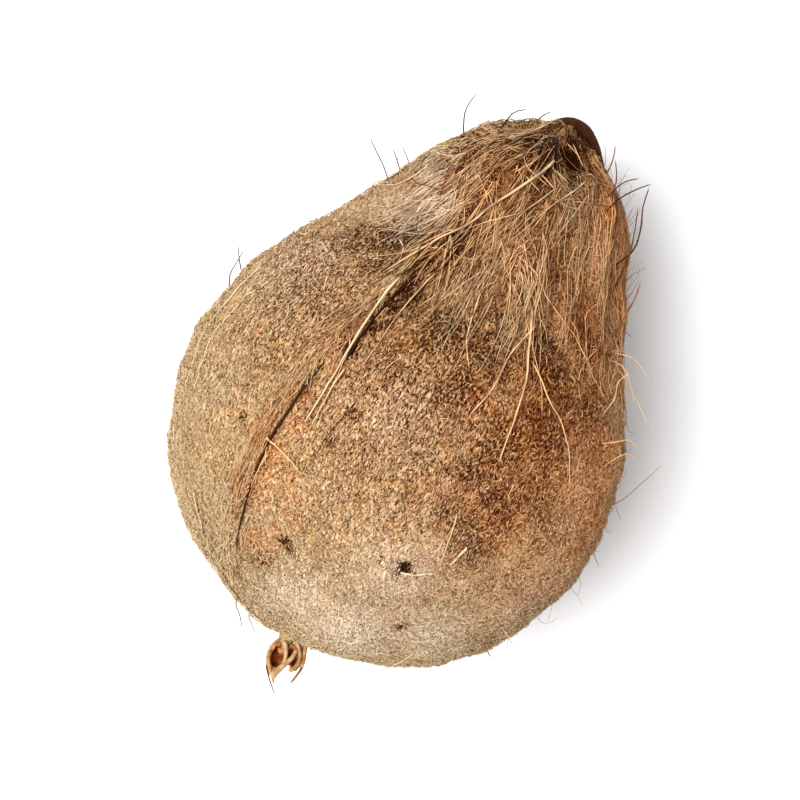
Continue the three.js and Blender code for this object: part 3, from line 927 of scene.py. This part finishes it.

# %% [markdown]
# A few strands catch the eye in the photograph, and each is placed one by one. Its points are
# pixels, looked up on the coat, so it lies on the coat from every side. The number after them is
# its radius in millimetres, and the last two are its lift and its tone.

# %% The strands that catch the eye
EYE_CATCHING = {
    "keel_strand": ([(408, 267), (375, 312), (345, 360), (322, 395), (305, 425)], 0.5, 0.9, 1.25),
    "keel_strand_low": ([(345, 368), (330, 395), (312, 428)], 0.4, 0.8, 1.2),
    "keel_hair": ([(326, 360), (310, 380), (288, 412), (267, 446), (252, 478), (239, 553)], 0.3, 0.5, 0.08),
    "keel_line_low": ([(356, 400), (342, 420), (328, 436), (315, 457)], 0.24, 0.4, 0.1),
    # the next strand and keel_shadow below are near-black lines of painted shade in the crevices along the
    # keel
    "keel_crevice_shade": (
        [(312, 374), (292, 408), (270, 441), (254, 480), (244, 518), (239, 552)], 0.34, 0.8, 0.05,
    ),
    "keel_shadow": ([(420, 272), (390, 302), (364, 332), (346, 362)], 0.5, 0.6, 0.04),
    "keel_light_b": ([(440, 268), (410, 302), (384, 335), (362, 372)], 0.26, 1.1, 1.15),
    "keel_light_c": ([(352, 338), (349, 352), (337, 378), (326, 402)], 0.2, 0.9, 1.1),
    "keel_light_low": ([(270, 452), (260, 470), (253, 489)], 0.25, 0.8, 1.1),
    "cross_strand": ([(266, 437), (284, 453), (302, 470)], 0.28, 1.0, 1.1),
    "tuft_strand": ([(555, 160), (539, 176), (494, 208), (464, 231), (380, 280)], 0.5, 1.6, 1.15),
    "centre_strand": ([(532, 300), (527, 350), (523, 382), (510, 425), (497, 466)], 0.42, 1.0, 1.1),
    "right_strand": ([(530, 356), (545, 395), (559, 425), (567, 457), (566, 493)], 0.24, 1.1, 1.2),
    "low_strand": ([(457, 510), (448, 538), (437, 564)], 0.26, 1.1, 1.15),
    "low_stub": ([(467, 545), (458, 553), (448, 564)], 0.5, 1.0, 1.2),
    "low_cross": ([(400, 572), (418, 573), (437, 572)], 0.22, 1.0, 1.1),
    "dark_hair": ([(410, 181), (428, 191), (446, 199)], 0.16, 1.4, 0.1),
    "edge_strand_a": ([(268, 262), (250, 279), (222, 310), (197, 354), (186, 392)], 0.3, 0.5, 1.15),
    "edge_strand_b": ([(262, 285), (232, 315), (206, 358), (194, 395)], 0.26, 0.5, 1.15),
    "top_edge_strand_a": ([(394, 178), (346, 208), (300, 234), (264, 264)], 0.3, 0.5, 1.15),
    "top_edge_strand_b": ([(430, 166), (396, 186), (350, 213), (305, 240)], 0.22, 0.5, 1.1),
    "upper_curl": ([(398, 240), (404, 252), (398, 266), (388, 276)], 0.2, 1.0, 1.1),
    "upper_stub_a": ([(330, 278), (326, 290)], 0.22, 0.8, 1.1),
    "upper_stub_b": ([(289, 306), (288, 318), (276, 332)], 0.2, 0.8, 1.1),
    "middle_strand": ([(537, 322), (512, 352), (492, 388), (468, 414)], 0.36, 0.9, 1.1),
    "middle_strand_b": ([(480, 290), (470, 325), (464, 345), (468, 372)], 0.26, 0.9, 1.15),
    "edge_strand_c": ([(194, 486), (199, 510), (205, 535), (214, 556)], 0.26, 0.5, 1.1),
    "edge_strand_d": ([(198, 490), (204, 524), (210, 548), (218, 566)], 0.2, 0.5, 0.15),
    "edge_strand_e": ([(214, 560), (232, 590), (256, 614), (272, 632)], 0.3, 0.6, 1.15),
    "edge_strand_f": ([(222, 566), (240, 594), (262, 617)], 0.2, 0.6, 0.15),
    "tip_strand": ([(586, 180), (570, 194), (545, 212), (505, 245)], 0.25, 1.2, 1.1),
    "crevice_strand": ([(560, 185), (520, 215), (470, 232), (430, 262), (412, 290)], 0.22, 1.4, 1.0),
}
STRAND_POINTS, STRAND_CURVE_STEPS, STRAND_RISE_RATE = 13, 12, 8


def lay_strand(name, pixels, radius, lift, tone):
    """A strand along a smooth curve over the coat; it has risen to its lift after an eighth of it."""
    curve = smooth_curve(on_coat(pixels), STRAND_CURVE_STEPS)
    part = np.linspace(0, 1, STRAND_POINTS)
    along = np.linspace(0, 1, len(curve))
    share = np.interp(part, along, curve[:, 0])
    angle = np.interp(part, along, curve[:, 1])
    height = lift * np.minimum(1, STRAND_RISE_RATE * part) - ROOT_DEPTH * (part == 0)
    grow_one(name, coat(share, angle, height), radius, tone, STRAND_MATERIAL)


for name, (pixels, radius, lift, tone) in EYE_CATCHING.items():
    lay_strand(name, pixels, radius, lift, tone)

# %% [markdown]
# A few fine hairs are pulled straight across the hollow at the tuft's end and across the fibres
# below it. Each is a straight line between two places a little above the coat.

# %% The taut hairs across the hollow
TAUT_LIFT = 2.2  # of both ends over the coat
TAUT_RADIUS, TAUT_TONE, TAUT_TAPER = 0.18, 1.2, 0.7
TAUT_HAIRS = {
    "taut_a": ((533, 148), (572, 186)), "taut_b": ((526, 158), (558, 192)),
    "taut_c": ((596, 150), (550, 186)), "taut_d": ((532, 147), (578, 132)),
    "taut_e": ((566, 142), (582, 158)), "taut_f": ((574, 138), (584, 168)),
    "taut_g": ((515, 172), (536, 160)), "taut_h": ((527, 167), (551, 186)),
    "taut_i": ((525, 175), (542, 192)), "taut_j": ((540, 188), (575, 157)),
    "taut_k": ((548, 128), (540, 146)), "taut_l": ((520, 128), (527, 144)),
}


def taut_hair(name, start, end):
    places = on_coat([start, end])
    ends = lay_down(coat(places[:, 0], places[:, 1], TAUT_LIFT))
    line = smooth_curve(in_air([start, end], max(ends[:, 2])), 4)
    line[:, 2] = np.linspace(ends[0, 2], ends[1, 2], len(line))
    grow_one(name, take_up(line), TAUT_RADIUS, TAUT_TONE, STRAND_MATERIAL, TAUT_TAPER)


for name, (start, end) in TAUT_HAIRS.items():
    taut_hair(name, start, end)

# %% [markdown]
# Some hairs stand clear of the outline in the photograph. Each starts inside the coat, and its
# other points lie in the air at about the height of its root. The numbers after the pixels are how
# far its tip is raised, in millimetres, and its tone.

# %% The hairs that stand clear of the outline
DARK_HAIR_RADIUS, LIGHT_HAIR_RADIUS = 0.25, 0.17
DARK_HAIR_TONE = 0.4  # a hair under this tone is a dark one
ROOT_INSIDE = 0.03  # how far the root is moved towards the axis, as a share of the way
FREE_HAIRS = {
    "top_hair": ([(464, 134), (464, 118), (468, 106), (477, 95)], 4, 0.15),
    "shoulder_hair_a": ([(392, 186), (384, 168), (376, 152), (370, 140)], 5, 0.2),
    "shoulder_hair_b": ([(404, 180), (398, 164), (392, 148)], 3, 0.2),
    "shoulder_hair_c": ([(414, 170), (407, 158), (402, 147)], 2, 0.3),
    "left_hair_a": ([(222, 292), (230, 276), (238, 262), (246, 250)], 4, 0.2),
    "left_hair_b": ([(236, 275), (240, 262), (240, 246)], 5, 0.2),
    "flank_hair_a": ([(606, 212), (618, 200), (636, 190), (651, 185)], 2, 0.08),
    "flank_hair_b": ([(612, 266), (632, 252), (640, 230), (642, 208), (648, 188)], 3, 0.06),
    "flank_hair_c": ([(612, 300), (622, 272), (632, 244), (638, 205)], 1, 0.15),
    "flank_hair_g": ([(606, 200), (614, 190), (626, 182), (638, 180)], 3, 0.15),
    "flank_hair_h": ([(614, 345), (624, 318), (634, 300), (638, 286)], 2, 0.3),
    "flank_hair_i": ([(610, 240), (624, 224), (632, 208)], 3, 0.5),
    "top_edge_hair_a": ([(500, 126), (512, 114), (528, 110)], 1, 0.12),
    "top_edge_hair_b": ([(528, 128), (540, 118), (552, 112)], 1, 0.15),
    "top_edge_hair_c": ([(478, 136), (492, 124), (506, 120)], 1, 0.3),
    "flank_hair_d": ([(617, 330), (634, 300), (640, 280)], 2, 0.6),
    "flank_hair_e": ([(606, 180), (612, 162), (614, 146)], 3, 0.3),
    "flank_hair_f": ([(612, 205), (616, 182), (614, 160)], 2, 0.2),
    "side_hair": ([(612, 352), (622, 374), (638, 402), (651, 429)], -2, 0.9),
    "side_hair_b": ([(610, 356), (622, 366), (630, 384), (634, 406)], 2, 1.0),
    "side_hair_c": ([(612, 350), (628, 356), (640, 366), (652, 384)], 1, 0.9),
    "side_hair_d": ([(604, 420), (614, 400), (618, 382), (632, 372)], 1, 1.0),
    "side_hair_e": ([(602, 446), (616, 442), (628, 440), (636, 448)], 3, 1.0),
    "side_hair_f": ([(604, 472), (616, 458), (628, 454), (636, 460)], 3, 0.9),
    "low_hair_a": ([(570, 588), (578, 596), (582, 606)], 1, 0.9),
    "low_hair_b": ([(500, 628), (508, 636), (512, 644)], 1, 0.9),
    "side_hair_low": ([(606, 512), (622, 500), (640, 484), (660, 465)], 3, 0.5),
    "bottom_hair": ([(480, 640), (486, 648), (491, 657)], 1, 0.2),
    "bottom_strand": ([(424, 652), (404, 660), (390, 666), (375, 672)], 2, 1.0),
    "corner_hair": ([(236, 592), (236, 603), (240, 614), (243, 628)], 2, 0.25),
    "corner_hair_b": ([(246, 604), (249, 616), (252, 624), (256, 633)], 1, 0.3),
    "corner_hair_c": ([(244, 598), (248, 611), (258, 622), (262, 640)], 2, 0.7),
    "corner_hair_d": ([(258, 614), (262, 622), (266, 630), (263, 641)], 2, 1.0),
    "corner_hair_e": ([(264, 618), (271, 624), (269, 633), (264, 641)], 1, 1.0),
}


def free_hair(name, pixels, rise, tone):
    root = lay_down(coat(*on_coat(pixels[:1]).T))[0]
    points = in_air(pixels, root[2])
    points[:, 2] += rise * np.linspace(0, 1, len(points)) ** 2
    points[0] = (1 - ROOT_INSIDE) * root + ROOT_INSIDE * np.array([0, 0, root[2]])
    path = take_up(smooth_curve(points, 3))
    radius = DARK_HAIR_RADIUS if tone < DARK_HAIR_TONE else LIGHT_HAIR_RADIUS
    grow_one(name, path, radius, tone, STRAND_MATERIAL, 0.6)


for name, (pixels, rise, tone) in FREE_HAIRS.items():
    free_hair(name, pixels, rise, tone)

# %% [markdown]
# The stalk left a scar at the tuft's end: a smooth, hard, dark brown lip, bent like a horseshoe
# round the hollow. It is grown as one thick fibre with many sides, along a path through the air.

# %% The stalk's scar
TORN_SIDES = 14
HARD_BUMP = 0.3 * MM
TONE_GAIN = 2.0  # makes up for the noise, whose mean is a half
SCAR_TONE, SCAR_TAPER = 0.11, 0.8


def make_hard_material(name, scale, roughness):
    """Smooth husk without loose fibres: its tone is stored, with streaks and a light bump."""
    material, tree, tone_in, shader = coir_material(name, roughness)
    place = add_node(tree, "ShaderNodeTexCoord", {}, "Object")
    fibres = noise_of(tree, place, scale, 4.0)
    flecked = calculate(tree, "MULTIPLY", stored_on(tree, "tone", "Fac"), fibres)
    tree.links.new(calculate(tree, "MULTIPLY", flecked, TONE_GAIN), tone_in)
    add_bump(tree, shader, fibres, HARD_BUMP)
    return material


SCAR_MATERIAL = make_hard_material("stalk_scar", 500.0, 0.55)
lip = along_air(LIP_PATH, LIP_HEIGHT)
grow_one("scar_lip", lip, LIP_RADIUS, SCAR_TONE, SCAR_MATERIAL, SCAR_TAPER, TORN_SIDES)

# %% [markdown]
# At the pole a scrap of husk was torn but not pulled off. It is a thin, dry, curled skin: a small
# open cup whose inside is dark orange-brown, a tighter fold beside it, and a few stiff ribs that
# end in points. A cup is spun from the outline of its wall, inside and outside, and then pulled
# out of round. The ribs are thick fibres.

# %% The torn scrap
SCRAP_HEIGHT = NUT_RADIUS - FLAT_DEPTH
CUP_WALL = 0.74  # inner radius as a share of the outer
CUP_OPENS_AT = math.radians(25)
CUP_PROFILE_POINTS, CUP_STEPS = 16, 48
CUP_RAGGED, CUP_LUMP = 0.18, 0.7  # how much noise pulls it out of round, and the size of that
RIM_RAGGED, RIM_LUMP = 0.5, 0.35
CUP_INSIDE, CUP_OUTSIDE = (0.7, 1.0, 0.0), (0.1, 0.5, 0.0)  # dark, warm and pale amounts
TONE_INSIDE, TONE_OUTSIDE = 0.5, 0.62
TORN_MATERIAL = make_hard_material("torn_husk", 700.0, 0.85)


def spin_cup(name):
    """A round cup of radius 1 that opens upwards, with a wall."""
    sweep = np.linspace(-math.pi / 2, CUP_OPENS_AT, CUP_PROFILE_POINTS)
    wall = [(math.cos(a), 0, math.sin(a)) for a in sweep]
    wall += [(CUP_WALL * math.cos(a), 0, CUP_WALL * math.sin(a)) for a in sweep[::-1]]
    wall[0], wall[-1] = (0, 0, -1), (0, 0, -CUP_WALL)
    bm = spun(wall, (0, 0, 1), CUP_STEPS)
    bmesh.ops.recalc_face_normals(bm, faces=bm.faces)
    bmesh.ops.triangulate(bm, faces=bm.faces[:])
    return mesh_of(bm, name)


def make_cup(name, pixel, radii, turn, seed):
    """A torn cup whose middle shows at a pixel; radii are out, across and down; turn is in degrees."""
    mesh = spin_cup(name)
    unit = vertex_table(mesh)
    inside = np.linalg.norm(unit, axis=1) < (1 + CUP_WALL) / 2
    rim = np.maximum(0, unit[:, 2] + 0.5)
    shape = unit * (1 + CUP_RAGGED * noise_at(unit, CUP_LUMP, seed))[:, None]
    shape[:, 2] += RIM_RAGGED * rim * noise_at(unit, RIM_LUMP, seed + 1)
    x, y, z = (shape * np.array(radii)).T
    cos, sin = math.cos(math.radians(turn)), math.sin(math.radians(turn))
    shape = np.stack([cos * x - sin * y, sin * x + cos * y, z], 1)
    place_vertices(mesh, take_up(shape + in_air([pixel], SCRAP_HEIGHT)))
    store_on(mesh, "amounts", np.where(inside[:, None], CUP_INSIDE, CUP_OUTSIDE))
    store_on(mesh, "tone", np.where(inside, TONE_INSIDE, TONE_OUTSIDE))
    finish_piece(name, mesh, TORN_MATERIAL)


make_cup("scrap_cup", (277, 657), (3.9, 2.3, 3.0), 15, 3)
make_cup("scrap_fold", (293, 657), (3.4, 1.6, 2.4), 40, 8)

# pixels, height in mm over the scrap's middle, radius in mm, tone
RIBS = {
    "scrap_neck": ([(292, 626), (287, 637), (284, 648), (283, 654)], -1.6, 2.6, 0.5),
    "scrap_neck_far": ([(304, 630), (301, 640), (299, 650), (298, 658)], -1.0, 2.2, 0.5),
    "rib_front": ([(271, 678), (276, 672), (284, 665), (292, 658), (297, 649)], 1.8, 0.95, 0.62),
    "rib_left": ([(272, 676), (269, 667), (268, 657), (271, 647), (280, 638)], 1.0, 0.7, 0.5),
    "rib_middle": ([(284, 640), (286, 650), (285, 659), (281, 667)], 1.4, 0.7, 0.55),
    "rib_fold": ([(288, 671), (296, 667), (300, 658), (299, 648), (295, 640)], 1.4, 0.7, 0.5),
    "rib_far": ([(300, 668), (303, 660), (305, 650), (308, 640)], 0.4, 0.85, 0.5),
    "splinter": ([(304, 656), (302, 667), (297, 675), (290, 684)], 0.5, 0.5, 0.22),
    "rib_point": ([(276, 666), (274, 673), (273, 679), (274, 684)], 0.8, 0.5, 0.5),
    "dark_splinter": ([(266, 664), (268, 674), (271, 684), (275, 695)], 1.5, 0.26, 0.1),
}

for name, (pixels, height, radius, tone) in RIBS.items():
    path = along_air(pixels, SCRAP_HEIGHT + height)
    grow_one(name, path, radius, tone, TORN_MATERIAL, sides=TORN_SIDES)

# %% [markdown]
# The floor is a plain white sheet and the light is one big soft lamp from the picture's left, high
# up, with a white sky as fill. The shadow then falls to the right and stays short, as in the
# photograph.

# %% Floor and light
FLOOR_SIZE = 3  # metres from its middle to its edge
FLOOR_COLOUR = (0.89, 0.89, 0.90, 1)
FLOOR_ROUGHNESS = 0.9

bm = bmesh.new()
bmesh.ops.create_grid(bm, x_segments=1, y_segments=1, size=FLOOR_SIZE)
floor_mesh = mesh_of(bm, "floor")
floor = bpy.data.objects.new("floor", floor_mesh)
bpy.context.collection.objects.link(floor)
floor_material = bpy.data.materials.new("white_floor")
floor_material.use_nodes = True
floor_shader = floor_material.node_tree.nodes["Principled BSDF"]
floor_shader.inputs["Base Color"].default_value = FLOOR_COLOUR
floor_shader.inputs["Roughness"].default_value = FLOOR_ROUGHNESS
floor_mesh.materials.append(floor_material)

KEY_HEIGHT = math.radians(67)
KEY_UPWARDS = math.radians(4)  # the lamp stands this far round from the picture's left to its top
KEY_DISTANCE = 1.6
KEY_SIZE = 1.1
KEY_POWER = 42.5
SKY_STRENGTH = 0.6

key_data = bpy.data.lights.new("key", "AREA")
key_data.shape = "DISK"
key_data.size = KEY_SIZE
key_data.energy = KEY_POWER
key = bpy.data.objects.new("key", key_data)
away = -right * math.cos(KEY_UPWARDS) - down * math.sin(KEY_UPWARDS)
key.location = Vector((*away, 0)) * math.cos(KEY_HEIGHT) * KEY_DISTANCE
key.location.z = math.sin(KEY_HEIGHT) * KEY_DISTANCE
key.rotation_euler = (-key.location).to_track_quat("-Z", "Y").to_euler()
bpy.context.collection.objects.link(key)

world = bpy.data.worlds.new("white_sky")
world.use_nodes = True
world.node_tree.nodes["Background"].inputs["Color"].default_value = (1, 1, 1, 1)
world.node_tree.nodes["Background"].inputs["Strength"].default_value = SKY_STRENGTH
bpy.context.scene.world = world
bpy.context.scene.view_settings.view_transform = "Standard"
